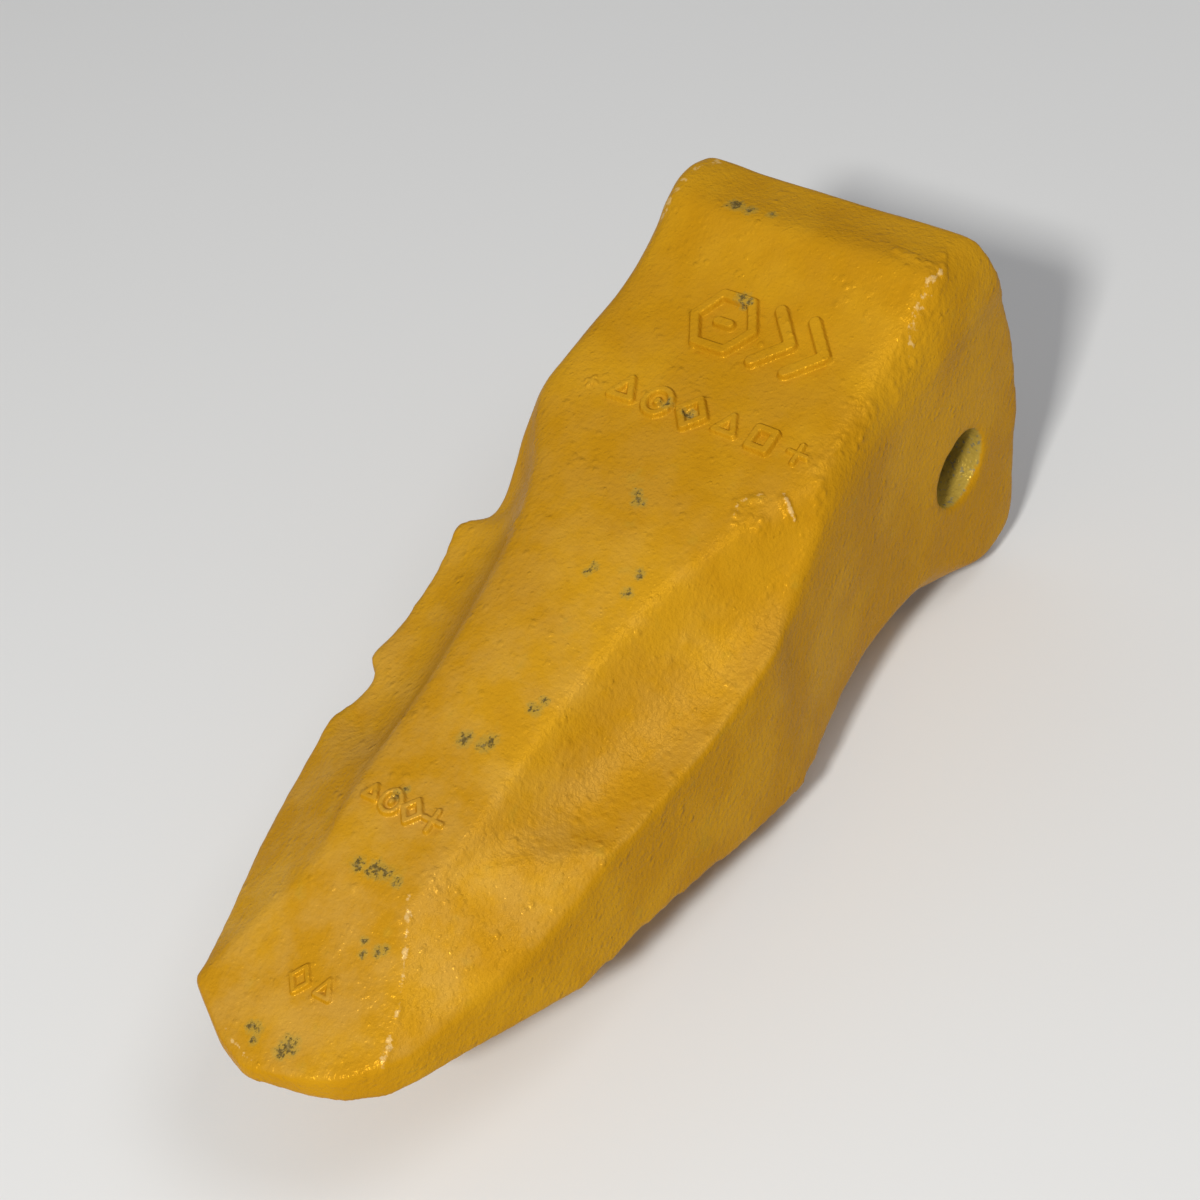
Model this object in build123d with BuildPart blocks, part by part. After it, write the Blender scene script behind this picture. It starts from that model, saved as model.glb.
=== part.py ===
"""Excavator bucket tooth: a hollow cast tip for a side-pin nose, its locking pin and its retainer.

Frame, in millimetres: the origin is on the pin-bore axis in the tooth's middle plane,
+X runs towards the digging edge, +Y along the pin and +Z up towards the crown.
"""
import os

from build123d import *

os.makedirs("parts", exist_ok=True)

# Digging edge, seen from above: one arc about a centre behind it
edge_reach = 349.0          # bore axis to the foremost point of the edge
edge_radius = 50.0

# Ears and the rim that they share with the upper lip
ear_inner_y = 36.0          # middle plane to an ear's inner face
ear_bottom = -62.0
ear_corner_radius = 16.0    # the ear's lower rear corner
lower_lip_x = 16.0          # the lower lip starts this far ahead of the bore

# Socket for the adapter's nose: (x, half width, bottom, top) from the mouth to the end.
# The cheeks are parallel as far as the second station, and the last two bound the flats
# that bear on the nose's tip.
socket_corner = 9.0
socket_stations = [
    (-60, ear_inner_y, -62, 86),
    (32, ear_inner_y, -58, 76),
    (150, 27, -24, 34),
    (188, 27, -24, 34),
]

# Locking pin and its bore
pin_radius = 15.4
bore_clearance = 0.10
bore_radius = pin_radius + bore_clearance
pin_half_length = 46.0
pin_end_chamfer = 2.5

# Retainer: a split steel ring in the pin's groove, held by an elastomer ring
groove_radius = 13.6
groove_width = 6.4
retainer_thickness = 6.0
retainer_gap = 0.2          # clearance of the ring in the groove
ring_outer_radius = 20.5
ring_split = 9.0            # opening of the split ring
cushion_outer_radius = 27.5
retainer_y = -(ear_inner_y - retainer_thickness / 2)

# Cross-sections of the tip from rear to front. Each is half an outline, as (y, z) points:
# crown, deck edge, shoulder or flute, wing top, wing bottom, lower flute, keel edge, keel.
# From deck edge to wing top, and from wing bottom to keel edge, one curve passes through the
# middle point: it bulges on the box behind and is hollow in the flutes ahead.
sections = [
    (-48, (0, 89), (47, 88), (57, 83), (62, 68), (60, -63), (50, -68), (36, -73), (0, -74)),
    (-16, (0, 94), (47, 93), (57, 88), (62, 70), (60, -62), (50, -68), (32, -75), (0, -76)),
    (7, (0, 97), (49, 96), (58, 90), (62, 70), (59, -47), (49, -63), (28, -76), (0, -77)),
    (42, (0, 82), (49, 80), (57, 73), (61, 57), (58, -34), (46, -54), (28, -68), (0, -69)),
    (90, (0, 71), (54, 67), (59, 58), (62, 43), (58, -37), (46, -50), (30, -58), (0, -60)),
    (115, (0, 67), (48, 63), (56, 50), (64, 37), (62, -45), (52, -46), (32, -54), (0, -57)),
    (140, (0, 62), (36, 58), (50, 42), (66, 33), (65, -48), (50, -40), (30, -50), (0, -53)),
    (172, (0, 56), (27, 51), (44, 33), (65, 25), (65, -38), (46, -32), (26, -44), (0, -48)),
    (202, (0, 49), (22, 45), (40, 26), (63, 21), (63, -31), (42, -24), (22, -38), (0, -42)),
    (228, (0, 42), (22, 39), (38, 24), (60, 19), (61, -25), (38, -20), (22, -32), (0, -36)),
    (250, (0, 37), (23, 35), (39, 25), (59, 14), (58, -23), (38, -21), (23, -28), (0, -31)),
    (276, (0, 31), (23, 30), (38, 20), (54, 11), (54, -19), (38, -19), (23, -24), (0, -25)),
    (300, (0, 22), (27, 21), (37, 14), (48, 8), (48, -14), (37, -15), (27, -18), (0, -18)),
    (332, (0, 8), (36, 7), (37.5, 6), (39, 5), (39, -6), (37.5, -7), (36, -7.5), (0, -8)),
    (354, (0, 1.5), (37, 1), (38, 0.7), (39, 0.4), (39, -3.5), (38, -4), (37, -4.5), (0, -5)),
]

# The rim seen from the side: down the ear's rear edge, round its lower corner and forward to
# the lower lip, with the radius of each corner
rim_corners = [(-21, 92), (-40, 38), (-44.5, 0), (-40, ear_bottom), (lower_lip_x, ear_bottom)]
rim_radii = [8, 60, 60, ear_corner_radius, 8]

pin_axis = Plane.XZ         # its normal is -Y; the pin lies along Y
far = 130.0                 # cutting tools reach this far, clear of the casting


def bend(start, through, end):
    """One parabolic edge from start to end that passes through the middle point."""
    pull = (
        2 * through[0] - (start[0] + end[0]) / 2,
        2 * through[1] - (start[1] + end[1]) / 2,
    )
    return Bezier(start, pull, end)


def cross_section(station):
    """The tip's whole outline at one station, as a face square to X."""
    x, crown, deck, shoulder, wing, skirt, hollow, edge, keel = station
    with BuildSketch(Plane(origin=(x, 0, 0), x_dir=(0, 1, 0), z_dir=(1, 0, 0))) as outline:
        with BuildLine():
            bend((-deck[0], deck[1]), crown, deck)
            bend(deck, shoulder, wing)
            Line(wing, skirt)
            bend(skirt, hollow, edge)
            bend(edge, keel, (-edge[0], edge[1]))
            bend((-edge[0], edge[1]), (-hollow[0], hollow[1]), (-skirt[0], skirt[1]))
            Line((-skirt[0], skirt[1]), (-wing[0], wing[1]))
            bend((-wing[0], wing[1]), (-shoulder[0], shoulder[1]), (-deck[0], deck[1]))
        make_face()
    return outline.sketch


def socket_section(x, half_width, bottom, top):
    """The socket's rounded rectangle at one station."""
    middle = Plane(origin=(x, 0, (bottom + top) / 2), x_dir=(0, 1, 0), z_dir=(1, 0, 0))
    with BuildSketch(middle) as opening:
        RectangleRounded(2 * half_width, top - bottom, socket_corner)
    return opening.sketch


# ---------------------------------------------------------------- tip casting
with BuildPart() as tip_casting:
    loft([cross_section(station) for station in sections], ruled=True)

    # Digging edge: everything ahead of the arc is removed
    with BuildSketch(Plane.XY.offset(-far)) as ahead_of_edge:
        with Locations((edge_reach - edge_radius, 0)):
            Rectangle(far, far, align=(Align.MIN, Align.CENTER))
            Circle(edge_radius, mode=Mode.SUBTRACT)
    extrude(amount=2 * far, mode=Mode.SUBTRACT)

    # Rim: the ears stand behind the upper lip and hang below the socket
    with BuildSketch(Plane.XZ.offset(-far)) as behind_rim:
        with BuildLine():
            rim = FilletPolyline((rim_corners[0][0], far), *rim_corners, (lower_lip_x, -far),
                                 radius=rim_radii)
            Polyline(rim @ 1, (-far, -far), (-far, far), rim @ 0)
        make_face()
    extrude(amount=2 * far, mode=Mode.SUBTRACT)

    # Socket, open to the rear
    loft([socket_section(*station) for station in socket_stations], ruled=True,
         mode=Mode.SUBTRACT)

    # The mouth runs out below between the ears, up to the lower lip
    with Locations((lower_lip_x, 0, 0)):
        Box(far, 2 * ear_inner_y, far, align=(Align.MAX, Align.CENTER, Align.MAX),
            mode=Mode.SUBTRACT)

    # Pin bore through both ears
    with BuildSketch(pin_axis.offset(-far)):
        Circle(bore_radius)
    extrude(amount=2 * far, mode=Mode.SUBTRACT)
tip_casting.part.label = "tip_casting"

# ---------------------------------------------------------------- locking pin
with BuildPart() as locking_pin:
    with BuildSketch(pin_axis.offset(-pin_half_length)):
        Circle(pin_radius)
    extrude(amount=2 * pin_half_length)
    chamfer(locking_pin.edges().filter_by(GeomType.CIRCLE), pin_end_chamfer)
    with BuildSketch(pin_axis.offset(-retainer_y - groove_width / 2)):
        Circle(2 * pin_radius)
        Circle(groove_radius, mode=Mode.SUBTRACT)
    extrude(amount=groove_width, mode=Mode.SUBTRACT)
locking_pin.part.label = "locking_pin"

# ---------------------------------------------------------------- retainer ring
with BuildPart() as retainer_ring:
    with BuildSketch(pin_axis.offset(-retainer_y - retainer_thickness / 2)):
        Circle(ring_outer_radius)
        Circle(groove_radius + retainer_gap, mode=Mode.SUBTRACT)
        with Locations((-ring_outer_radius, 0)):
            Rectangle(2 * ring_outer_radius, ring_split, mode=Mode.SUBTRACT)
    extrude(amount=retainer_thickness)
retainer_ring.part.label = "retainer_ring"

# ---------------------------------------------------------------- retainer cushion
with BuildPart() as retainer_cushion:
    with BuildSketch(pin_axis.offset(-retainer_y - retainer_thickness / 2)):
        Circle(cushion_outer_radius)
        Circle(ring_outer_radius, mode=Mode.SUBTRACT)
    extrude(amount=retainer_thickness)
retainer_cushion.part.label = "retainer_cushion"

for piece in (tip_casting, locking_pin, retainer_ring, retainer_cushion):
    export_step(piece.part, f"parts/{piece.part.label}.step")
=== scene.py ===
"""Excavator bucket tooth: the looks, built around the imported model.

Shapes are written in millimetres, in the model's own frame: +X to the digging edge, +Y along the
pin, +Z up, with the origin on the pin's axis. They become metres when a mesh is made.
"""
from math import cos, pi, radians, sin

import bmesh
import bpy
import numpy as np
from mathutils import Matrix, Vector, noise


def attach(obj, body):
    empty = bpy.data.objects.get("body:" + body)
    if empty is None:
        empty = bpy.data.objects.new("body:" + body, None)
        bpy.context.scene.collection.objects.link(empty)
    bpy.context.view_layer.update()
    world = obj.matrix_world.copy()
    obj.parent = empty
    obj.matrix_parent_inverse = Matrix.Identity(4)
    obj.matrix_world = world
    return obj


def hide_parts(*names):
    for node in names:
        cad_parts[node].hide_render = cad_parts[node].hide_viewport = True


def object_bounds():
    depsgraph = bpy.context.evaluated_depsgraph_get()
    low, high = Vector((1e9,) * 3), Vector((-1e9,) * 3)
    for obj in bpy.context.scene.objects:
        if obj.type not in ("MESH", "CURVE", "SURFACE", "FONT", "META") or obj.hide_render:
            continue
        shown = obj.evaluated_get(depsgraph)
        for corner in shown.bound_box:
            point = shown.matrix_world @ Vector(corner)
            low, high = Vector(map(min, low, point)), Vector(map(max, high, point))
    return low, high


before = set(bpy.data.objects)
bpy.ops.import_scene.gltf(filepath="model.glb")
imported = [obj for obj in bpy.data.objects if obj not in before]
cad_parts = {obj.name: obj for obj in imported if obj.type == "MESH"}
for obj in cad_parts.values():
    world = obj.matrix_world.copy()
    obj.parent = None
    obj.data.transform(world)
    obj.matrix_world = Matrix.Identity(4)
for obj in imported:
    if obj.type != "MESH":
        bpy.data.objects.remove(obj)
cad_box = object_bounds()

MM = 0.001

# ------------------------------------------------------------------ shape of the casting

# Feature lines of the outer skin, as control points (x, y, z) of smooth curves that run along
# the tooth. A point given twice is a corner. Both halves use the same lines.
SKIN_LINES = {
    "crown": [(-48, 0, 88.5), (-24, 0, 92.3), (-10, 0, 94.6), (4, 0, 97.5), (8, 0, 97.5), (14, 0, 93.5),
              (26, 0, 87), (41, 0, 80.8), (58, 0, 76.5), (75, 0, 73), (92, 0, 69.8), (115, 0, 66),
              (140, 0, 61.5), (172, 0, 55.5), (202, 0, 48.7), (228, 0, 42.3), (250, 0, 37.5),
              (274, 0, 32), (283, 0, 30), (300, 0, 22.5), (332, 0, 8), (354, 0, 0)],
    "deck": [(-48, 46, 88.3), (-24, 46, 92), (-10, 47, 94.3), (4, 49, 96.8), (8, 49, 96.5),
             (14, 48, 92.4), (26, 47, 86), (41, 48, 80), (58, 50, 75.5), (75, 53, 71.8),
             (90, 55.5, 68.3), (97, 54.5, 66.5), (106, 50.5, 64.5), (121, 43, 62), (137, 36.5, 59),
             (157, 31, 55.2), (179, 28, 50.7), (202, 25.5, 46), (228, 24.5, 40.8), (254, 24, 35.5),
             (270, 23, 32.5), (286, 19.5, 28.5), (286, 19.5, 28.5), (296, 23, 23.5), (312, 31, 15.5),
             (333, 38, 6.5), (354, 46, -2)],
    "flute": [(-48, 56.3, 82.5), (-24, 56.5, 86), (-10, 57.2, 88.3), (4, 58.2, 90), (8, 58.2, 89.5),
              (26, 56, 79), (41, 56, 73), (58, 57.3, 68.5), (75, 59, 64.5), (88, 60.2, 62),
              (97, 58.5, 58.5), (106, 55.5, 52.7), (121, 52.3, 45), (140, 48.7, 39.3), (157, 46.3, 35.8),
              (179, 43.7, 31.2), (202, 41.3, 26.7), (228, 39, 24.3), (228, 39, 24.3), (244, 33.8, 28),
              (254, 30, 29.5), (270, 24.5, 29.5), (286, 19.5, 28.5), (286, 19.5, 28.5),
              (296, 23, 23.5), (312, 31, 15.5), (333, 38, 6.5), (354, 46, -2)],
    "crease": [(-48, 62, 68), (7, 63.5, 68), (26, 60.5, 60), (41, 60, 56), (58, 60.5, 54),
               (75, 61.5, 53), (88, 62, 54.5), (98, 61.5, 55), (107, 61.3, 47.5), (117, 61.5, 40),
               (126, 62.5, 34.5), (134, 65.7, 33.2), (142, 66.5, 31.5), (157, 65.9, 27.8),
               (171, 65, 24.5), (201, 63.5, 21.5), (228, 61, 20), (228, 61, 20), (243.5, 47.5, 23.2),
               (261, 34.5, 26.3), (271, 27.5, 27.5), (286, 19.5, 28.5), (286, 19.5, 28.5),
               (296, 23, 23.5), (312, 31, 15.5), (333, 38, 6.5), (354, 46, -2)],
    "wing": [(-48, 61, 60), (7, 61.5, 58), (26, 60, 52), (41, 59.6, 48), (58, 60, 45), (75, 61, 42),
             (88, 61.5, 39), (98, 62, 37), (107, 62.5, 36), (117, 63, 33.5), (126, 63.5, 32.5),
             (134, 65.9, 32.5), (142, 66.5, 31), (157, 65.9, 27.5), (171, 65, 24.3),
             (201, 63.5, 21.3), (228, 61, 20), (228, 61, 20), (258, 57.8, 12), (284, 53, 9),
             (298, 49, 7.5), (320, 43, 5.5), (334, 39.5, 4.5), (354, 47, -3)],
    "skirt": [(-48, 59, -63), (-20, 59.5, -63), (-5, 58.7, -55.5), (7, 58.5, -45.3), (18, 58.2, -38.6),
              (34, 58, -36), (60, 58, -33), (84, 58.7, -37), (104, 61, -43), (120, 64, -48.5),
              (136, 65.5, -49.5), (172, 65, -39.8), (194, 64, -33.3), (228, 61, -28),
              (256, 59.3, -26.5), (256, 59.3, -26.5), (276, 55.8, -19.8), (296, 50.5, -14.8),
              (319, 43.8, -9.5), (334, 39.5, -6.5), (354, 47, -5)],
    "low_crease": [(-48, 59, -63), (-20, 59.5, -63), (-5, 58.7, -55.5), (7, 58.5, -45.3),
                   (18, 58.2, -38.6), (34, 58, -36), (60, 58, -33), (84, 58.7, -37), (104, 61, -43),
                   (120, 64, -48.5), (136, 65.5, -49.5), (172, 65, -39.8), (194, 64, -33.3),
                   (228, 61, -28), (256, 59.3, -26.5), (256, 59.3, -26.5), (270, 44, -23),
                   (286, 27, -20), (286, 27, -20), (296, 28, -17.5), (312, 32, -13.5),
                   (333, 37, -9), (354, 46, -6)],
    "low_flute": [(-48, 50, -68), (-16, 50, -67), (7, 51, -57), (24, 50, -48), (42, 48, -46.5), (90, 46, -45.5),
                  (120, 50, -44.5), (148, 47, -39.5), (172, 44.5, -34), (202, 41, -28),
                  (228, 39, -26), (256, 36, -24.5), (270, 31, -23), (286, 27, -20), (286, 27, -20),
                  (296, 28, -17.5), (312, 32, -13.5), (333, 37, -9), (354, 46, -6)],
    "keel_edge": [(-48, 34, -74), (7, 30, -76), (42, 28, -68), (90, 30, -58), (120, 31, -54),
                  (148, 28, -49), (172, 26, -44.5), (202, 24.5, -38.5), (228, 24, -33),
                  (256, 25, -27), (286, 27, -20), (286, 27, -20), (296, 28, -17.5),
                  (312, 32, -13.5), (333, 37, -9), (354, 46, -6)],
    "keel": [(-48, 0, -75.5), (7, 0, -77), (42, 0, -69.5), (90, 0, -60), (120, 0, -56),
             (148, 0, -51.5), (172, 0, -47), (202, 0, -41), (228, 0, -35.5), (256, 0, -29),
             (286, 0, -22), (296, 0, -19.5), (312, 0, -15.5), (333, 0, -9.5), (354, 0, -6)],
}

# The left wing isn't a mirror of the right one: its rear end stands out as a step, and a stretch of
# it didn't fill. (x, how far the wing stands out)
LEFT_WING = [(112, 0), (124, -2), (131, -3.5), (133, -2), (135.5, 6), (141, 5), (152, 2), (165, 1.2),
             (188, 1.2), (197, 4), (200, 4), (203, -2), (207, -3.8), (215, -3.3), (222, -1), (228, 1.5),
             (245, 1.6), (265, 2.2), (285, 2.2), (305, 1.2), (325, 0)]

# The upper rear corners differ: (x, how far the corner stands out)
LEFT_CORNER = [(-40, 3), (-26, 4.5), (-14, 6), (-5, 4.5), (4, 1), (12, -1), (20, -0.5), (30, 0)]
RIGHT_CORNER = [(-48, 2), (-32, 2.4), (-18, 1.8), (-4, 0.6), (6, 0)]
# The left shoulder of the box is fuller than the right one: (x, how far it stands out)
LEFT_SHOULDER = [(-48, 1), (0, 1.5), (20, 2.2), (40, 3.4), (60, 4), (85, 3.4), (105, 2.6), (122, 0)]

# How the outline runs at one station: (from, to, through, points). No middle line: straight.
OUTLINE = [
    ("crown", "deck", None, 16),
    ("deck", "crease", "flute", 18),
    ("crease", "wing", None, 10),
    ("wing", "skirt", None, 20),
    ("skirt", "low_crease", None, 6),
    ("low_crease", "keel_edge", "low_flute", 16),
    ("keel_edge", "keel", None, 12),
]

# The digging edge in plan, from -Y to +Y, as corners (x, y, radius)
EDGE_PLAN = [(300, -62, 0), (330.5, -43.5, 5), (345.6, -20, 10), (350.8, -6, 8), (345.8, 15.5, 16),
             (340.4, 28, 8), (331.5, 37.5, 7), (300, 55, 0)]
EAR_INNER_Y = 36.0
EAR_BOTTOM = -62.0
LOWER_LIP_X = 16.0
BORE_RADIUS = 15.5
BORE_DRAW_IN = 0.15         # the bore is cut this much wider, as remeshing draws it in
SOCKET_CORNER = 9.0
SOCKET_STATIONS = [(-60, 36, -62, 86), (32, 36, -58, 76), (150, 27, -24, 34), (188, 27, -24, 34)]
# The rim seen from the side, as corners (x, z, radius)
RIM = [(-23.5, 92, 7), (-40, 38, 60), (-44.5, 0, 60), (-40, EAR_BOTTOM, 16), (LOWER_LIP_X, EAR_BOTTOM, 8)]
FAR = 130.0                 # cutters reach this far, clear of the casting
VOXEL = 1.5


def spline(points, per_leg=10):
    """Points of a quadratic B-spline: it passes the middle of each leg between control points."""
    points = np.array(points, float)
    middle = (points[1:] + points[:-1]) / 2
    t = np.linspace(0, 1, per_leg)[:, None]
    legs = [points[:1]]
    for start, pull, end in zip(middle[:-1], points[1:-1], middle[1:]):
        legs.append((1 - t) ** 2 * start + 2 * t * (1 - t) * pull + t ** 2 * end)
    legs.append(points[-1:])
    return np.concatenate(legs)


def feature_line(name, x):
    """The line's (y, z) at each x."""
    line = spline(SKIN_LINES[name])
    return np.stack([np.interp(x, line[:, 0], line[:, 1]), np.interp(x, line[:, 0], line[:, 2])], 1)


def soften(rows, weight, turns, axis):
    """Smooths a grid of points along one of its axes, by a weight for each point."""
    for _ in range(turns):
        if axis == 1:
            mean = (np.roll(rows, 1, 1) + np.roll(rows, -1, 1)) / 2
        else:
            mean = rows.copy()
            mean[1:-1] = (rows[2:] + rows[:-2]) / 2
        rows = rows + weight[..., None] * (mean - rows)
    return rows


def skin_grid(step=1.5):
    """The outer skin as a grid of points, stations by places round the outline."""
    x = np.arange(-48, 356, step)
    lines = {name: feature_line(name, x) for name in SKIN_LINES}
    half, roundness = [], []
    box = np.clip((125 - x) / 40, 0, 1)           # 1 on the box behind, 0 on the blade
    ridge_softness = {"deck": 0.12 + 0.45 * box, "crease": 0.02 + 0.5 * box,
                      "wing": 0.02 + 0.5 * box, "skirt": 0.10 + 0.15 * box, "low_crease": 0.15 + 0 * x, "keel_edge": 0.25 + 0 * x}
    for first, last, through, count in OUTLINE:
        a, b = lines[first], lines[last]
        for k in range(count):
            t = k / count
            if through:
                pull = 2 * lines[through] - (a + b) / 2
                point = (1 - t) ** 2 * a + 2 * t * (1 - t) * pull + t ** 2 * b
            elif first == "crown":
                point = a + (b - a) * np.array([t, t * t])
            elif last == "keel":
                point = a + (b - a) * np.array([t, 1 - (1 - t) ** 2])
            else:
                point = a + (b - a) * t
            half.append(point)
            near_first = max(0, 1 - k / 6) * ridge_softness.get(first, 0 * x)
            near_last = max(0, 1 - (count - k) / 6) * ridge_softness.get(last, 0 * x)
            roundness.append(np.maximum(near_first, near_last))
    half.append(lines["keel"])
    roundness.append(0 * x)
    half = np.stack(half, 1)
    roundness = np.stack(roundness, 1)
    left = half.copy()
    near_wing = np.clip((half[..., 0] - 48) / 12, 0, 1) * np.clip((half[..., 1] + 30) / 30, 0, 1)
    near_corner = np.clip((half[..., 0] - 38) / 16, 0, 1) * np.clip((half[..., 1] - 62) / 22, 0, 1)
    left[..., 0] += near_wing * np.interp(x, *zip(*LEFT_WING))[:, None]
    near_shoulder = np.clip((half[..., 0] - 38) / 14, 0, 1) * np.clip((half[..., 1] - 30) / 20, 0, 1)
    left[..., 0] += near_shoulder * np.interp(x, *zip(*LEFT_SHOULDER))[:, None]
    left += (near_corner * np.interp(x, *zip(*LEFT_CORNER))[:, None])[..., None] * np.array([0.6, 0.8])
    half += (near_corner * np.interp(x, *zip(*RIGHT_CORNER))[:, None])[..., None] * np.array([0.7, 0.7])
    mirrored = left[:, -2:0:-1] * np.array([-1, 1])
    outline = np.concatenate([half, mirrored], 1)
    weight = np.concatenate([roundness, roundness[:, -2:0:-1]], 1)
    outline = soften(outline, weight, 14, 1)
    outline = soften(outline, np.full(weight.shape, 0.4), 3, 0)
    stations = np.broadcast_to(x[:, None, None], outline.shape[:2] + (1,))
    return np.concatenate([stations, outline], 2)


def closed_grid(rows):
    """A closed mesh from rings of points, with a flat fan at each end, as (points, faces)."""
    n_rings, n_round = rows.shape[:2]
    points = rows.reshape(-1, 3)
    ends = [rows[0].mean(0), rows[-1].mean(0)]
    points = np.concatenate([points, ends])
    faces = []
    for i in range(n_rings - 1):
        for j in range(n_round):
            k = (j + 1) % n_round
            faces.append((i * n_round + j, i * n_round + k, (i + 1) * n_round + k, (i + 1) * n_round + j))
    first, last = n_rings * n_round, n_rings * n_round + 1
    base = (n_rings - 1) * n_round
    for j in range(n_round):
        k = (j + 1) % n_round
        faces.append((first, k, j))
        faces.append((last, base + j, base + k))
    return points, faces


def mesh_object(name, points, faces, scale=MM):
    mesh = bpy.data.meshes.new(name)
    mesh.from_pydata((np.asarray(points) * scale).tolist(), [], faces)
    mesh.validate()
    obj = bpy.data.objects.new(name, mesh)
    bpy.context.scene.collection.objects.link(obj)
    bm = bmesh.new()
    bm.from_mesh(mesh)
    bmesh.ops.triangulate(bm, faces=[face for face in bm.faces if len(face.verts) > 4])
    bmesh.ops.recalc_face_normals(bm, faces=bm.faces)
    bm.to_mesh(mesh)
    bm.free()
    return obj


def prism(name, outline, direction, low, high):
    """A closed straight prism over a flat outline: direction 'y' takes (x, z), 'z' takes (x, y)."""
    rings = []
    for level in (low, high):
        if direction == "y":
            rings.append([(a, level, b) for a, b in outline])
        else:
            rings.append([(a, b, level) for a, b in outline])
    points = rings[0] + rings[1]
    n = len(outline)
    faces = [tuple(range(n)), tuple(range(2 * n - 1, n - 1, -1))]
    faces += [(j, (j + 1) % n, n + (j + 1) % n, n + j) for j in range(n)]
    return mesh_object(name, points, faces)


def rounded_path(corners, turns=8):
    """Points of a path whose inner corners (x, z, radius) are rounded off."""
    path = [corners[0][:2]]
    for before, corner, after in zip(corners[:-2], corners[1:-1], corners[2:]):
        p = np.array(corner[:2], float)
        u = np.array(before[:2]) - p
        v = np.array(after[:2]) - p
        u, v = u / np.linalg.norm(u), v / np.linalg.norm(v)
        half_angle = np.arccos(np.clip(u @ v, -1, 1)) / 2
        reach = corner[2] / np.tan(half_angle)
        start, end = p + u * reach, p + v * reach
        for t in np.linspace(0, 1, turns):
            path.append(tuple((1 - t) ** 2 * start + 2 * t * (1 - t) * p + t ** 2 * end))
    path.append(corners[-1][:2])
    return path


def arc(cx, cy, radius, first, last, count):
    angles = np.radians(np.linspace(first, last, count))
    return [(cx + radius * cos(a), cy + radius * sin(a)) for a in angles]


def socket_ring(x, half_width, bottom, top):
    ring = []
    r = SOCKET_CORNER
    for cy, cz, first in ((half_width - r, top - r, 0), (r - half_width, top - r, 90),
                          (r - half_width, bottom + r, 180), (half_width - r, bottom + r, 270)):
        ring += [(x, y, z) for y, z in arc(cy, cz, r, first, first + 90, 8)]
    return ring


def cutters():
    """The solids that are cut from the skin: digging edge, rim, socket, mouth and bore."""
    plan = rounded_path(EDGE_PLAN)
    ahead = EDGE_PLAN[0][0] + FAR
    yield prism("cut_edge", plan + [(ahead, plan[-1][1]), (ahead, plan[0][1])], "z", -FAR, FAR)
    rim = rounded_path([(RIM[0][0], FAR, 0)] + RIM + [(LOWER_LIP_X, -FAR, 0)])
    yield prism("cut_rim", rim + [(-FAR, -FAR), (-FAR, FAR)], "y", -FAR, FAR)
    rings = np.array([socket_ring(*s) for s in SOCKET_STATIONS], float)
    yield mesh_object("cut_socket", *closed_grid(rings))
    mouth = [(-FAR, -FAR), (LOWER_LIP_X, -FAR), (LOWER_LIP_X, 0), (-FAR, 0)]
    yield prism("cut_mouth", mouth, "y", -EAR_INNER_Y, EAR_INNER_Y)
    yield prism("cut_bore", arc(0, 0, BORE_RADIUS + BORE_DRAW_IN, 0, 357, 120), "y", -FAR, FAR)


def applied(obj):
    """The object's mesh with its modifiers applied."""
    depsgraph = bpy.context.evaluated_depsgraph_get()
    mesh = bpy.data.meshes.new_from_object(obj.evaluated_get(depsgraph))
    obj.modifiers.clear()
    obj.data = mesh
    return mesh


def remesh(obj, voxel):
    """Rebuilds the object as one even closed surface."""
    modifier = obj.modifiers.new("remesh", "REMESH")
    modifier.mode = "VOXEL"
    modifier.voxel_size = voxel * MM
    applied(obj)


def cut_casting():
    """The skin with everything cut from it, as one even closed surface."""
    tooth = mesh_object("tooth_casting", *closed_grid(skin_grid()))
    remesh(tooth, VOXEL)
    tools = list(cutters())
    for tool in tools:
        cut = tooth.modifiers.new(tool.name, "BOOLEAN")
        cut.operation = "DIFFERENCE"
        cut.solver = "EXACT"
        cut.object = tool
    applied(tooth)
    for tool in tools:
        bpy.data.objects.remove(tool)
    remesh(tooth, VOXEL)
    return tooth


def read_points(mesh):
    points = np.empty(len(mesh.vertices) * 3)
    mesh.vertices.foreach_get("co", points)
    return points.reshape(-1, 3) / MM


def write_points(mesh, points):
    mesh.vertices.foreach_set("co", (points * MM).ravel())
    mesh.update()


def relax(mesh, weight, turns):
    """Laplacian smoothing, by a weight for each vertex."""
    points = read_points(mesh)
    edges = np.empty(len(mesh.edges) * 2, int)
    mesh.edges.foreach_get("vertices", edges)
    a, b = edges.reshape(-1, 2).T
    count = np.bincount(a, minlength=len(points)) + np.bincount(b, minlength=len(points))
    for _ in range(turns):
        total = np.stack([np.bincount(a, points[b, k], len(points)) + np.bincount(b, points[a, k], len(points))
                          for k in range(3)], 1)
        points += weight[:, None] * (total / count[:, None] - points)
    write_points(mesh, points)


# ------------------------------------------------------------------ details of the casting

def polygon(sides, width, height, turn=0.0):
    """A closed outline of so many sides, as (across, up) points."""
    angles = np.linspace(0, 2 * pi, sides + 1) + radians(turn)
    return [(width / 2 * cos(a), height / 2 * sin(a)) for a in angles]


# Raised figures, each a list of strokes. They say nothing: they only fill the places of the
# casting's marks.
FIGURES = {
    "target": [polygon(20, 9, 10), [(0, -0.4), (0, 0.4)]],
    "diamond": [polygon(4, 9, 11)],
    "triangle": [polygon(3, 9, 10, 90)],
    "square": [polygon(4, 10.5, 12, 45)],
    "cross": [[(-4, 0), (4, 0)], [(0, -4.5), (0, 4.5)]],
    "hexagon": [polygon(6, 25, 25, 0), [(-2.5, 0), (2.5, 0)]],
    "chevron": [[(-5, 11), (5, 0), (-5, -11)]],
}
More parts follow.
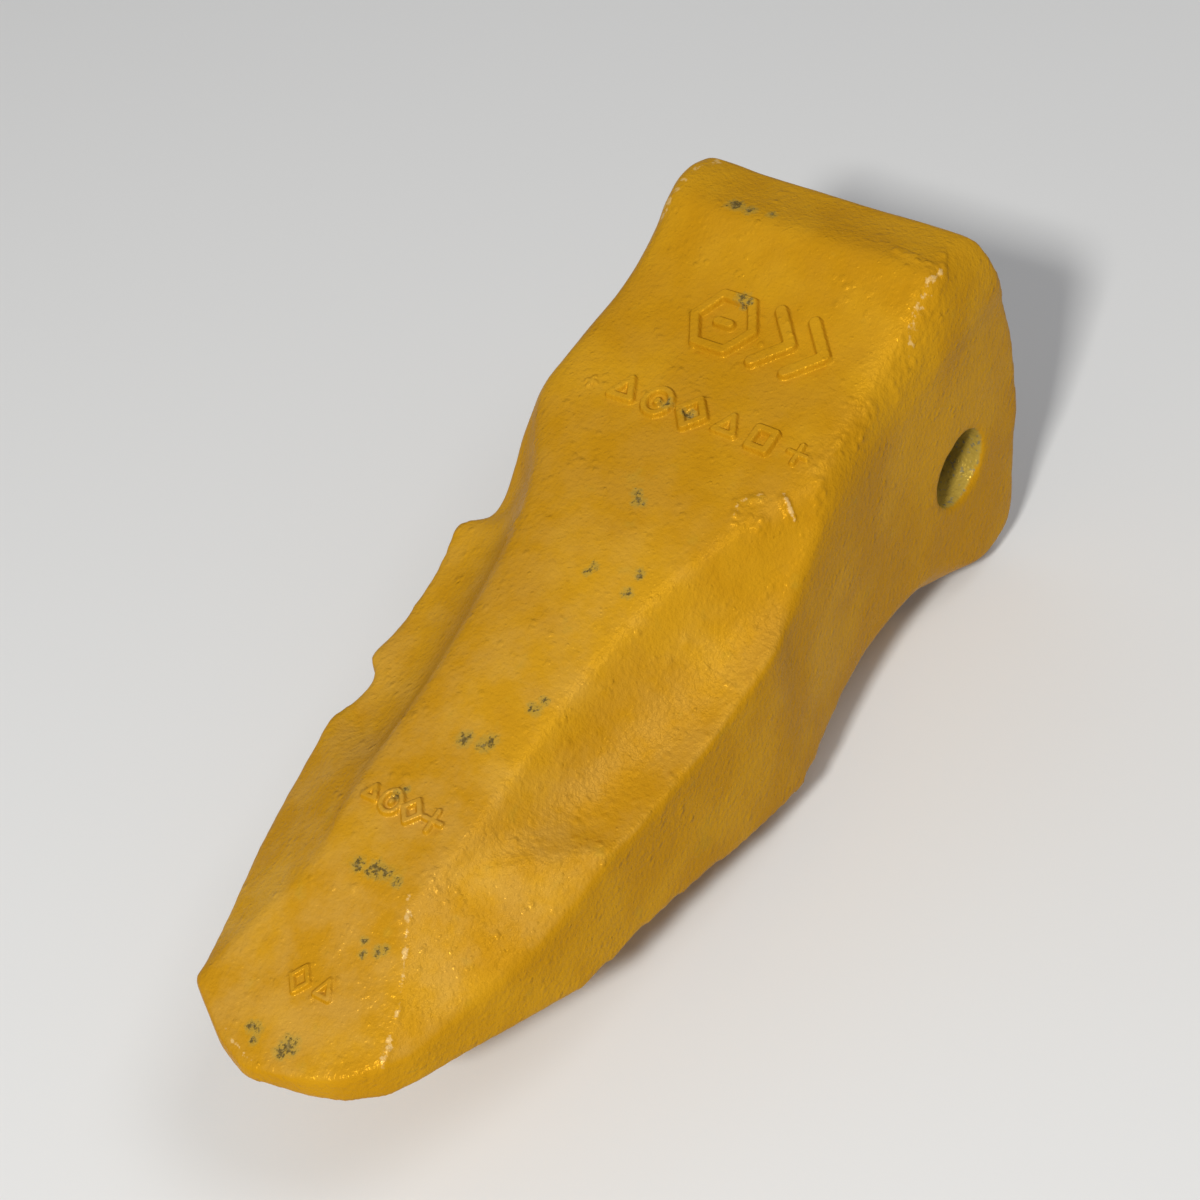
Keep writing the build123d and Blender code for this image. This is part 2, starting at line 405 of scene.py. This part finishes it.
# Rows of figures: (x, y of the first, pitch, figures), and each figure is
# (name, scale, half stroke, height)
MARK_ROWS = [
    (46, -9, 0, [("hexagon", 0.98, 1.8, 2.3)]),
    (46, 14, 14, [("chevron", 1.0, 2.2, 2.3), ("chevron", 1.0, 2.2, 2.3)]),
    (85, -42, 14.5, [("cross", 0.45, 0.8, 0.8), ("triangle", 1.15, 1.3, 2.0), ("target", 1.1, 1.2, 2.0),
                     ("diamond", 1.15, 1.4, 2.2), ("triangle", 1.0, 1.2, 1.5),
                     ("square", 0.95, 1.4, 2.2), ("cross", 0.85, 0.9, 1.5)]),
    (259, -16, 8.5, [("triangle", 0.6, 0.9, 1.6), ("target", 0.8, 0.9, 1.7),
                     ("diamond", 0.75, 1.0, 1.6), ("cross", 0.85, 0.9, 1.4)]),
    (320, -3, 10, [("diamond", 0.75, 0.8, 1.1), ("triangle", 0.7, 0.8, 1.1)]),
]
MARKS = [(name, x, first + pitch * place, scale, half_stroke, relief)
         for x, first, pitch, row in MARK_ROWS
         for place, (name, scale, half_stroke, relief) in enumerate(row)]
# Crusts of flash and rough beads on the top side: (path of (x, y), half width, height)
CRUSTS = [
    ([(2, 54), (20, 54), (38, 58)], 4.0, 0.7),
    ([(0, 37), (2, 53)], 1.6, 0.9),
    ([(-9, 50), (2, 56)], 1.3, 1.0),
    ([(53, 56), (68, 57)], 1.6, 0.7),
    ([(70, 55), (86, 53)], 1.3, 0.8),
    ([(90, 57), (97, 59)], 2.2, 0.8),
    ([(105, 42), (110, 36), (118, 39)], 1.4, 1.1),
    ([(102, 49), (104, 53)], 1.6, 1.1),
    ([(111, 47), (115, 46)], 1.4, 1.0),
    ([(297, 4), (309, 4)], 0.7, 0.6),
    ([(286, 19), (312, 32), (332, 38)], 1.0, 0.5),
]
SCATTER = np.random.default_rng(11)         # lays out the lumps and the chips
# Small lumps lie anywhere in these stretches: (lowest x, y, highest x, y, how many)
LUMP_ZONES = [(10, -45, 120, 45, 9), (140, -38, 240, 42, 12), (245, -30, 305, 22, 6)]
LUMPS = [(*SCATTER.uniform((x0, y0), (x1, y1)), SCATTER.uniform(0.9, 1.6), SCATTER.uniform(0.4, 0.7))
         for x0, y0, x1, y1, count in LUMP_ZONES for _ in range(count)]
# Chipped paint comes in groups: (middle x, y, extent along x, along y, how many, largest radius)
CHIP_GROUPS = [
    (3, -18, 2, 30, 7, 2.2), (36, -8, 3, 10, 3, 1.9), (85, -3, 3, 14, 3, 1.9), (130, 3, 22, 10, 4, 1.9),
    (155, 5, 10, 4, 2, 1.4), (158, 22, 18, 3, 3, 1.6), (207, 17, 10, 5, 3, 1.7),
    (228, 0, 5, 28, 4, 2.4), (255, -7, 5, 4, 2, 1.3), (282, 3, 2, 22, 6, 2.4), (304, 12, 6, 14, 4, 1.6),
    (339, 6, 5, 5, 3, 2.8), (341, -8, 5, 9, 3, 1.9),
]
CHIPS = [(x + SCATTER.uniform(-0.5, 0.5) * along, y + SCATTER.uniform(-0.5, 0.5) * across,
          largest * SCATTER.uniform(0.6, 1))
         for x, y, along, across, count, largest in CHIP_GROUPS for _ in range(count)]
# Where the paint is pale along edges and corners, partly rubbed thin and partly a painted highlight: (path of
# (x, y), half width)
RUBBED_AND_HIGHLIT = [
    ([(284, 17), (296, 24), (312, 32), (333, 38)], 1.1),
    ([(343, -20), (348, -4)], 0.9),
    ([(-22, -52), (-8, -55), (12, -57)], 2.2),
    ([(2, 55), (18, 54), (28, 56)], 1.5),
    ([(104, 42), (110, 36), (116, 38)], 0.9),
    ([(100, 48), (104, 54)], 1.0),
]
# Places whose mesh is refined for the details: (lowest x, y, highest x, y, cuts)
FINE_ZONES = [
    (30, -24, 62, 36, 3), (76, -47, 94, 50, 3), (252, -20, 266, 15, 3), (313, -8, 326, 12, 3),
    (-12, 34, 98, 64, 1), (98, 30, 122, 56, 1), (276, -16, 352, 42, 1),
]
UNEVEN = [(0.022, 0.28), (0.007, 0.10)]      # (size of the swells in metres, their height in mm)


def path_distance(points, path):
    """How far each flat point is from a path."""
    nearest = np.full(len(points), np.inf)
    for start, end in zip(path[:-1], path[1:]):
        start = np.array(start, float)
        leg = np.array(end) - start
        t = np.clip((points - start) @ leg / (leg @ leg), 0, 1)
        nearest = np.minimum(nearest, np.linalg.norm(points - start - t[:, None] * leg, axis=1))
    return nearest


def smooth_step(t):
    t = np.clip(t, 0, 1)
    return t * t * (3 - 2 * t)


def read_normals(mesh):
    normals = np.empty(len(mesh.vertices) * 3)
    mesh.vertices.foreach_get("normal", normals)
    return normals.reshape(-1, 3)


def refine(mesh, zone):
    """Cuts the top side's mesh finer inside one zone."""
    low_x, low_y, high_x, high_y, cuts = zone
    bm = bmesh.new()
    bm.from_mesh(mesh)

    def inside(vert):
        x, y, z = vert.co / MM
        return low_x < x < high_x and low_y < y < high_y and z > 0 and vert.normal.z > 0.25

    picked = {vert for vert in bm.verts if inside(vert)}
    edges = [edge for edge in bm.edges if edge.verts[0] in picked and edge.verts[1] in picked]
    bmesh.ops.subdivide_edges(bm, edges=edges, cuts=cuts, use_grid_fill=True)
    bm.to_mesh(mesh)
    bm.free()


def swell(points, size, seed):
    """Smooth noise between -1 and 1 at each point."""
    offset = Vector((seed, 2 * seed, 3 * seed))
    return np.array([noise.noise(Vector(p) * MM / size + offset) for p in points])


def figure_height(points):
    """The height of the raised figures at each (x, y)."""
    height = np.zeros(len(points))
    for name, x, y, scale, half_stroke, relief in MARKS:
        near = np.flatnonzero(np.abs(points - (x, y)).max(1) < 18)
        across_up = np.stack([points[near, 1] - y, x - points[near, 0]], 1)
        for stroke in FIGURES[name]:
            distance = path_distance(across_up, [(scale * a, scale * b) for a, b in stroke])
            rise = relief * smooth_step((half_stroke + 0.8 - distance) / 1.3)
            height[near] = np.maximum(height[near], rise)
    return height


def detail_height(points):
    """The height of figures, crusts and lumps at each point of the top side."""
    flat = points[:, :2]
    height = figure_height(flat)
    for number, (path, half_width, relief) in enumerate(CRUSTS):
        distance = path_distance(flat, path)
        near = np.flatnonzero(distance < 2 * half_width)
        rough = 0.5 + 0.8 * swell(points[near], 0.0024, 5 + number) + 0.7 * swell(points[near], 0.008, number)
        rise = relief * smooth_step(1.6 - distance[near] / half_width) * np.clip(rough, 0, 1.2)
        height[near] += rise
    for x, y, radius, relief in LUMPS:
        distance = np.linalg.norm(flat - (x, y), axis=1)
        height += relief * smooth_step(1.5 - distance / radius)
    return height


def surface_values(points, top):
    """What the paint needs to know at each point: chips, rubbed places with their painted edge highlights, and
    the inside.
    """
    flat = points[:, :2]
    chip = np.zeros(len(points))
    for x, y, radius in CHIPS:
        distance = np.linalg.norm(flat - (x, y), axis=1)
        chip = np.maximum(chip, 1 - distance / (2.9 * radius))
    rub_and_highlight = np.zeros(len(points))
    for path, half_width in RUBBED_AND_HIGHLIT:
        rub_and_highlight = np.maximum(rub_and_highlight, 1 - path_distance(flat, path) / (2 * half_width))
    x, half_width, bottom, roof = np.array(SOCKET_STATIONS, float).T
    in_y = np.interp(points[:, 0], x, half_width) + 0.7 - np.abs(points[:, 1])
    in_z = np.minimum(np.interp(points[:, 0], x, roof) + 0.7 - points[:, 2],
                      points[:, 2] - np.interp(points[:, 0], x, bottom) + 0.7)
    within = (in_y > 0) & (in_z > 0) & (points[:, 0] < x[-1] + 0.7)
    depth = np.where(within, np.clip((points[:, 0] + 30) / 70, 0.1, 1), 0)
    bore = np.hypot(points[:, 0], points[:, 2]) < BORE_RADIUS + 0.6
    return {"chip": np.where(top, chip, 0), "rub_and_highlight": np.where(top, rub_and_highlight, 0), "inside": depth,
            "bore": bore.astype(float)}


def bulges(mesh):
    """How sharply the surface bulges, and how sharply it dips, at each vertex, from 0 to 1."""
    points, normals = read_points(mesh), read_normals(mesh)
    edges = np.empty(len(mesh.edges) * 2, int)
    mesh.edges.foreach_get("vertices", edges)
    a, b = edges.reshape(-1, 2).T
    count = np.bincount(a, minlength=len(points)) + np.bincount(b, minlength=len(points))

    def mean_of(value_a, value_b):
        return (np.bincount(a, value_b, len(points)) + np.bincount(b, value_a, len(points))) / count

    length = np.linalg.norm(points[a] - points[b], axis=1)
    mean = np.stack([mean_of(points[b, k], points[a, k]) for k in range(3)], 1)
    bulge = ((points - mean) * normals).sum(1) / mean_of(length, length) ** 2
    values = []
    for value in (bulge, -bulge):
        value = np.clip((value - 0.05) / 0.22, 0, 1)
        for _ in range(2):
            value = 0.5 * value + 0.5 * mean_of(value[b], value[a])
        values.append(value)
    return values


def build_casting():
    tooth = cut_casting()
    mesh = tooth.data
    relax(mesh, np.full(len(mesh.vertices), 0.35), 8)
    before = len(mesh.vertices)
    for zone in FINE_ZONES:
        refine(mesh, zone)
    weight = np.zeros(len(mesh.vertices))
    weight[before:] = 0.5
    relax(mesh, weight, 4)
    points, normals = read_points(mesh), read_normals(mesh)
    top = (points[:, 2] > 0) & (normals[:, 2] > 0.15)
    values = surface_values(points, top)
    height = np.where(top, detail_height(points), 0)
    for number, (size, amount) in enumerate(UNEVEN):
        height += amount * swell(points, size, 20 + number) * (values["bore"] < 0.5)
    write_points(mesh, points + height[:, None] * normals)
    # The sharp and hollow values drive the paler edges (wear and painted highlight) and the painted shade in
    # hollows.
    values["sharp"], values["hollow"] = bulges(mesh)
    for name, value in values.items():
        mesh.attributes.new(name, "FLOAT", "POINT").data.foreach_set("value", value.astype(np.float32))
    mesh.polygons.foreach_set("use_smooth", [True] * len(mesh.polygons))
    return tooth


# ------------------------------------------------------------------ pin and retainer

PIN_RADIUS = 15.4
PIN_HALF_LENGTH = 46.0
PIN_CHAMFER = 2.5
GROOVE_RADIUS = 13.6
GROOVE_HALF_WIDTH = 3.2
RETAINER_Y = -33.0
RETAINER_HALF_THICKNESS = 3.0
RING_INNER_RADIUS = 13.8
RING_OUTER_RADIUS = 20.5
RING_HALF_SPLIT = 4.5
CUSHION_OUTER_RADIUS = 27.5


def smooth_faces(obj, limit=35):
    obj.data.polygons.foreach_set("use_smooth", [True] * len(obj.data.polygons))
    bm = bmesh.new()
    bm.from_mesh(obj.data)
    for edge in bm.edges:
        edge.smooth = len(edge.link_faces) == 2 and edge.calc_face_angle() < radians(limit)
    bm.to_mesh(obj.data)
    bm.free()


def lathe(name, profile, turns=120):
    """A mesh turned about the Y axis from a profile of (y, radius) points. It is closed by its
    own ends on the axis, or by joining its last point to its first."""
    on_axis = profile[0][1] == 0
    rings = profile[1:-1] if on_axis else profile
    points = [(r * cos(2 * pi * t / turns), y, r * sin(2 * pi * t / turns))
              for y, r in rings for t in range(turns)]
    faces = []
    for i in range(len(rings) if not on_axis else len(rings) - 1):
        j = (i + 1) % len(rings)
        for t in range(turns):
            u = (t + 1) % turns
            faces.append((i * turns + t, i * turns + u, j * turns + u, j * turns + t))
    if on_axis:
        first, last = len(points), len(points) + 1
        points += [(0, profile[0][0], 0), (0, profile[-1][0], 0)]
        base = (len(rings) - 1) * turns
        for t in range(turns):
            u = (t + 1) % turns
            faces.append((first, u, t))
            faces.append((last, base + t, base + u))
    obj = mesh_object(name, points, faces)
    smooth_faces(obj)
    return obj


def pin_mesh():
    """A turned pin: chamfered ends with centre holes, and the retainer's groove."""
    end, rim, chamfer = PIN_HALF_LENGTH, PIN_RADIUS, PIN_CHAMFER
    low, high = RETAINER_Y - GROOVE_HALF_WIDTH, RETAINER_Y + GROOVE_HALF_WIDTH
    corners = [
        (3.2 - end, 0, 0), (0.4 - end, 2.8, 0.1), (-end, 3.4, 0.1), (-end, rim - chamfer, 0.6),
        (chamfer - end, rim, 0.8), (low, rim, 0.3), (low, GROOVE_RADIUS, 0.5),
        (high, GROOVE_RADIUS, 0.5), (high, rim, 0.3), (end - chamfer, rim, 0.8),
        (end, rim - chamfer, 0.6), (end, 3.4, 0.1), (end - 0.4, 2.8, 0.1), (end - 3.2, 0, 0),
    ]
    return lathe("locking_pin_turned", rounded_path(corners, 5))


def ring_mesh(steps=90):
    """The split ring: a rounded bar bent round the pin, open towards -X."""
    low, high = RETAINER_Y - RETAINER_HALF_THICKNESS, RETAINER_Y + RETAINER_HALF_THICKNESS
    middle = (RING_INNER_RADIUS + RING_OUTER_RADIUS) / 2
    corners = [(low, middle, 0), (low, RING_OUTER_RADIUS, 0.5), (high, RING_OUTER_RADIUS, 0.5),
               (high, RING_INNER_RADIUS, 0.8), (low, RING_INNER_RADIUS, 0.8), (low, middle, 0)]
    section = rounded_path(corners, 5)[:-1]
    rings = []
    for step in range(steps + 1):
        ring = []
        for y, r in section:
            gap = np.arcsin(RING_HALF_SPLIT / r)
            angle = pi + gap + (2 * pi - 2 * gap) * step / steps
            ring.append((r * cos(angle), y, r * sin(angle)))
        rings.append(ring)
    obj = mesh_object("retainer_ring_bent", *closed_grid(np.array(rings)))
    smooth_faces(obj)
    return obj


def cushion_mesh():
    """The moulded ring: rounded corners and a shallow gutter in each face."""
    low, high = RETAINER_Y - RETAINER_HALF_THICKNESS, RETAINER_Y + RETAINER_HALF_THICKNESS
    inner, outer = RING_OUTER_RADIUS, CUSHION_OUTER_RADIUS
    corners = [(RETAINER_Y, inner, 0), (high, inner, 0.6), (high, inner + 2, 0.4),
               (high - 0.8, inner + 2.6, 0.4), (high - 0.8, outer - 2.6, 0.4), (high, outer - 2, 0.4),
               (high, outer, 1.2), (low, outer, 1.2), (low, outer - 2, 0.4),
               (low + 0.8, outer - 2.6, 0.4), (low + 0.8, inner + 2.6, 0.4), (low, inner + 2, 0.4),
               (low, inner, 0.6), (RETAINER_Y, inner, 0)]
    return lathe("retainer_cushion_moulded", rounded_path(corners, 5)[:-1])


# ------------------------------------------------------------------ materials

def new_material(name):
    material = bpy.data.materials.new(name)
    material.use_nodes = True
    tree = material.node_tree
    tree.nodes.clear()
    out = tree.nodes.new("ShaderNodeOutputMaterial")
    shader = tree.nodes.new("ShaderNodeBsdfPrincipled")
    tree.links.new(shader.outputs[0], out.inputs[0])
    return material, tree, shader


def node(tree, kind, inputs, **settings):
    """A node with its settings and inputs; an input is a value or another node's output."""
    made = tree.nodes.new(kind)
    for name, value in settings.items():
        setattr(made, name, value)
    for name, value in inputs.items():
        if isinstance(value, bpy.types.NodeSocket):
            tree.links.new(value, made.inputs[name])
        else:
            made.inputs[name].default_value = value
    return made


def grain(tree, size, detail=2.0, roughness=0.55, stretch=(1, 1, 1)):
    """Noise in the object's own space, about 0.5, with features of the given size in metres."""
    place = node(tree, "ShaderNodeTexCoord", {}).outputs["Object"]
    stretched = node(tree, "ShaderNodeMapping", {"Vector": place, "Scale": stretch}).outputs[0]
    made = node(tree, "ShaderNodeTexNoise", {"Vector": stretched, "Scale": 1 / size, "Detail": detail,
                                             "Roughness": roughness})
    return made.outputs[0]


def ramp(tree, value, low, high, to_low=0.0, to_high=1.0):
    """The value moved smoothly from one range to another."""
    made = node(tree, "ShaderNodeMapRange", {"Value": value, "From Min": low, "From Max": high,
                                             "To Min": to_low, "To Max": to_high},
                interpolation_type="SMOOTHSTEP")
    return made.outputs[0]


def mix(tree, amount, first, second):
    """Two colours mixed by an amount."""
    made = node(tree, "ShaderNodeMix", {"Factor": amount}, data_type="RGBA")
    for name, value in (("A_Color", first), ("B_Color", second)):
        socket = next(s for s in made.inputs if s.identifier == name)
        if isinstance(value, bpy.types.NodeSocket):
            tree.links.new(value, socket)
        else:
            socket.default_value = (*value, 1)
    return next(s for s in made.outputs if s.identifier == "Result_Color")


def maths(tree, operation, *values):
    made = tree.nodes.new("ShaderNodeMath")
    made.operation = operation
    for socket, value in zip(made.inputs, values):
        if isinstance(value, bpy.types.NodeSocket):
            tree.links.new(value, socket)
        else:
            socket.default_value = value
    return made.outputs[0]


def attribute(tree, name):
    return node(tree, "ShaderNodeAttribute", {}, attribute_name=name).outputs["Fac"]


def bumps(tree, layers):
    """A normal from several layers of height: (height, how high in metres)."""
    normal = None
    for height, distance in layers:
        made = node(tree, "ShaderNodeBump", {"Height": height, "Strength": 1.0, "Distance": distance})
        if normal:
            tree.links.new(normal, made.inputs["Normal"])
        normal = made.outputs[0]
    return normal


def pimples(tree, size):
    """Round pimples of the casting skin, crowded in some places and missing in others."""
    place = node(tree, "ShaderNodeTexCoord", {}).outputs["Object"]
    cells = node(tree, "ShaderNodeTexVoronoi", {"Vector": place, "Scale": 1 / size})
    crowded = ramp(tree, grain(tree, 3 * size, 2), 0.42, 0.66)
    return maths(tree, "MULTIPLY", ramp(tree, cells.outputs["Distance"], 0.02, 0.42, 1, 0), crowded)


def painted_sheen(tree):
    """How much pale sheen is painted in as a highlight: on what faces up, more towards the edge, and unevenly.
    """
    place = node(tree, "ShaderNodeTexCoord", {})
    along = node(tree, "ShaderNodeSeparateXYZ", {"Vector": place.outputs["Object"]}).outputs["X"]
    facing = node(tree, "ShaderNodeSeparateXYZ", {"Vector": place.outputs["Normal"]}).outputs["Z"]
    amount = maths(tree, "MULTIPLY", ramp(tree, along, 0.0, 0.30, 0.1, 1), ramp(tree, facing, 0.35, 0.85))
    patches = ramp(tree, grain(tree, 0.018, 4, 0.6), 0.35, 0.68, 0.02, 0.20)
    return maths(tree, "MULTIPLY", amount, patches)


def paint_colour(tree):
    """Ochre paint: uneven, paler where it is rubbed and where edge highlights are painted in, thin and greenish
    around the chips; with a painted sheen on what faces up, paler convex edges that are partly wear and partly
    painted highlight, and painted shade in hollows.
    """
    colour = mix(tree, ramp(tree, grain(tree, 0.045, 3), 0.38, 0.64),
                 (0.48, 0.227, 0.0060), (0.55, 0.275, 0.0095))
    colour = mix(tree, ramp(tree, grain(tree, 0.0035, 3), 0.55, 0.8, 0, 0.35), colour, (0.40, 0.19, 0.006))
    colour = mix(tree, ramp(tree, grain(tree, 0.012, 4), 0.62, 0.74, 0, 0.3), colour, (0.42, 0.26, 0.02))
    # Painted sheen: the paint is paler on faces that face up, as a painted highlight.
    colour = mix(tree, painted_sheen(tree), colour, (0.60, 0.42, 0.15))
    # Convex edges are paler: partly paint worn off, partly a painted highlight that brings out the raised
    # figures.
    pale_edges_worn_and_lit = maths(tree, "MULTIPLY", attribute(tree, "sharp"), ramp(tree, grain(tree, 0.004, 4), 0.38, 0.56))
    colour = mix(tree, maths(tree, "MULTIPLY", pale_edges_worn_and_lit, 0.6), colour, (0.76, 0.51, 0.13))
    # Hollows are darker: painted shade in creases and along the raised figures.
    colour = mix(tree, ramp(tree, attribute(tree, "hollow"), 0.1, 0.9, 0, 0.5), colour, (0.25, 0.105, 0.004))
    # Rubbed places are pale: partly paint rubbed thin, partly painted highlights along edges and corners.
    broken = maths(tree, "MULTIPLY", maths(tree, "SUBTRACT", grain(tree, 0.0035, 4, 0.65), 0.5), 3.2)
    rub_and_highlight = maths(tree, "ADD", attribute(tree, "rub_and_highlight"), broken)
    return mix(tree, ramp(tree, rub_and_highlight, 0.75, 1.15, 0, 0.55), colour, (0.76, 0.53, 0.23))


def inner_colour(tree, colour):
    """Inside, the paint gives way to primer and scale; the bore is a thin greenish coat."""
    bare = maths(tree, "ADD", attribute(tree, "inside"),
                 maths(tree, "MULTIPLY", maths(tree, "SUBTRACT", grain(tree, 0.02, 5), 0.5), 1.6))
    scale = mix(tree, ramp(tree, grain(tree, 0.006, 4), 0.4, 0.65), (0.055, 0.042, 0.032), (0.13, 0.085, 0.05))
    colour = mix(tree, ramp(tree, bare, 0.35, 0.75, 0, 0.9), colour, scale)
    thin = mix(tree, ramp(tree, grain(tree, 0.0022, 4), 0.56, 0.66), (0.40, 0.27, 0.045), (0.22, 0.19, 0.11))
    return mix(tree, attribute(tree, "bore"), colour, thin)


def paint_material():
    """Painted cast steel with a sandy skin under the paint, whose sheen is warm."""
    material, tree, shader = new_material("ochre_paint")
    colour = inner_colour(tree, paint_colour(tree))
    ragged = maths(tree, "MULTIPLY", maths(tree, "SUBTRACT", grain(tree, 0.0016, 5, 0.65), 0.5), 1.9)
    chip = maths(tree, "ADD", attribute(tree, "chip"), ragged)
    halo = maths(tree, "ADD", attribute(tree, "chip"), maths(tree, "MULTIPLY", ragged, 0.5))
    colour = mix(tree, ramp(tree, halo, 0.3, 0.7, 0, 0.5), colour, (0.33, 0.25, 0.05))
    bare = ramp(tree, chip, 0.66, 0.90, 0, 0.9)
    steel = mix(tree, ramp(tree, grain(tree, 0.0012, 3), 0.45, 0.65), (0.095, 0.066, 0.022), (0.27, 0.19, 0.06))
    colour = mix(tree, bare, colour, steel)
    tree.links.new(colour, shader.inputs["Base Color"])
    roughness = ramp(tree, grain(tree, 0.02, 3), 0.3, 0.7, 0.24, 0.34)
    tree.links.new(roughness, shader.inputs["Roughness"])
    shader.inputs["IOR"].default_value = 1.05
    shader.inputs["Metallic"].default_value = 0.10
    sandy = grain(tree, 0.0020, 2, 0.6)
    normal = bumps(tree, [(pimples(tree, 0.0045), 0.0004), (pimples(tree, 0.0021), 0.00018),
                          (sandy, 0.00055), (bare, -0.00012)])
    tree.links.new(normal, shader.inputs["Normal"])
    return material


def pin_material():
    """Turned, phosphated steel with fine rings along its length and a little rust."""
    material, tree, shader = new_material("turned_steel")
    rings = grain(tree, 0.0009, 2, 0.5, (0.02, 1, 0.02))
    colour = mix(tree, ramp(tree, rings, 0.35, 0.65), (0.16, 0.158, 0.155), (0.27, 0.265, 0.255))
    rust = ramp(tree, grain(tree, 0.009, 5, 0.6), 0.60, 0.70)
    colour = mix(tree, maths(tree, "MULTIPLY", rust, 0.55), colour, (0.20, 0.075, 0.025))
    tree.links.new(colour, shader.inputs["Base Color"])
    tree.links.new(maths(tree, "SUBTRACT", 1.0, maths(tree, "MULTIPLY", rust, 0.6)), shader.inputs["Metallic"])
    tree.links.new(ramp(tree, grain(tree, 0.006, 3), 0.35, 0.7, 0.30, 0.52), shader.inputs["Roughness"])
    tree.links.new(bumps(tree, [(rings, 0.00004), (grain(tree, 0.0015, 3), 0.00003)]), shader.inputs["Normal"])
    return material


def ring_material():
    """Hardened spring steel, blued dark, with brighter rubbed patches."""
    material, tree, shader = new_material("blued_steel")
    patches = ramp(tree, grain(tree, 0.005, 4, 0.6), 0.42, 0.66)
    colour = mix(tree, patches, (0.045, 0.050, 0.062), (0.20, 0.195, 0.19))
    tree.links.new(colour, shader.inputs["Base Color"])
    shader.inputs["Metallic"].default_value = 1.0
    tree.links.new(ramp(tree, grain(tree, 0.003, 3), 0.3, 0.7, 0.28, 0.5), shader.inputs["Roughness"])
    tree.links.new(bumps(tree, [(grain(tree, 0.0008, 3), 0.00003)]), shader.inputs["Normal"])
    return material


def cushion_material():
    """Black rubber, dulled by dust."""
    material, tree, shader = new_material("black_rubber")
    dust = ramp(tree, grain(tree, 0.008, 4, 0.6), 0.45, 0.75, 0, 0.5)
    colour = mix(tree, dust, (0.012, 0.012, 0.013), (0.085, 0.070, 0.050))
    tree.links.new(colour, shader.inputs["Base Color"])
    tree.links.new(ramp(tree, dust, 0, 0.5, 0.5, 0.85), shader.inputs["Roughness"])
    tree.links.new(bumps(tree, [(grain(tree, 0.0007, 3), 0.00003)]), shader.inputs["Normal"])
    return material


# ------------------------------------------------------------------ stage

def camera():
    """The view: a long lens, in front of the tooth on its +Y side and above it."""
    place = Vector((0.6560, 0.4439, 0.6946))
    right = Vector((-0.56138, 0.81895, -0.11909))
    up = Vector((-0.62888, -0.32862, 0.70464))
    back = right.cross(up)
    data = bpy.data.cameras.new("camera")
    data.sensor_width = 36
    data.lens = 81
    data.clip_start = 0.01
    obj = bpy.data.objects.new("camera", data)
    obj.matrix_world = Matrix.Translation(place) @ Matrix((right, up, back)).transposed().to_4x4()
    bpy.context.scene.collection.objects.link(obj)
    bpy.context.scene.camera = obj


def area_light(name, place, target, size, power, colour=(1, 1, 1)):
    data = bpy.data.lights.new(name, "AREA")
    data.size = size
    data.energy = power
    data.color = colour
    obj = bpy.data.objects.new(name, data)
    obj.location = place
    obj.rotation_euler = (Vector(target) - Vector(place)).to_track_quat("-Z", "Y").to_euler()
    bpy.context.scene.collection.objects.link(obj)


def stage():
    floor_z = cad_box[0][2] - 0.0005
    floor = mesh_object("floor", [(-6, -6, floor_z), (6, -6, floor_z), (6, 6, floor_z), (-6, 6, floor_z)],
                        [(0, 1, 2, 3)], scale=1)
    material, tree, shader = new_material("pale_floor")
    shader.inputs["Base Color"].default_value = (0.72, 0.72, 0.72, 1)
    shader.inputs["Roughness"].default_value = 0.9
    floor.data.materials.append(material)
    middle = (0.15, 0, 0.03)
    area_light("key", (1.98, 0.66, 1.77), middle, 0.25, 59, (1, 0.995, 0.96))
    area_light("fill", (-0.6, -1.3, 1.6), middle, 1.6, 2)
    area_light("top", (-0.05, 0.95, 2.1), middle, 0.9, 10)
    world = bpy.data.worlds.new("world")
    world.use_nodes = True
    world.node_tree.nodes["Background"].inputs[0].default_value = (0.96, 0.97, 1, 1)
    world.node_tree.nodes["Background"].inputs[1].default_value = 0.26
    bpy.context.scene.world = world
    bpy.context.scene.view_settings.view_transform = "Standard"


camera()
stage()
PIECES = [
    (build_casting, paint_material, "tip", "tip_casting", "cast_paint"),
    (pin_mesh, pin_material, "pin", "locking_pin", "pin_steel"),
    (ring_mesh, ring_material, "tip", "retainer_ring", "spring_steel"),
    (cushion_mesh, cushion_material, "tip", "retainer_cushion", "elastomer"),
]
for make_shape, make_material, body, replaced, slot in PIECES:
    piece = make_shape()
    piece.data.materials.append(make_material())
    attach(piece, body)
    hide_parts(replaced)
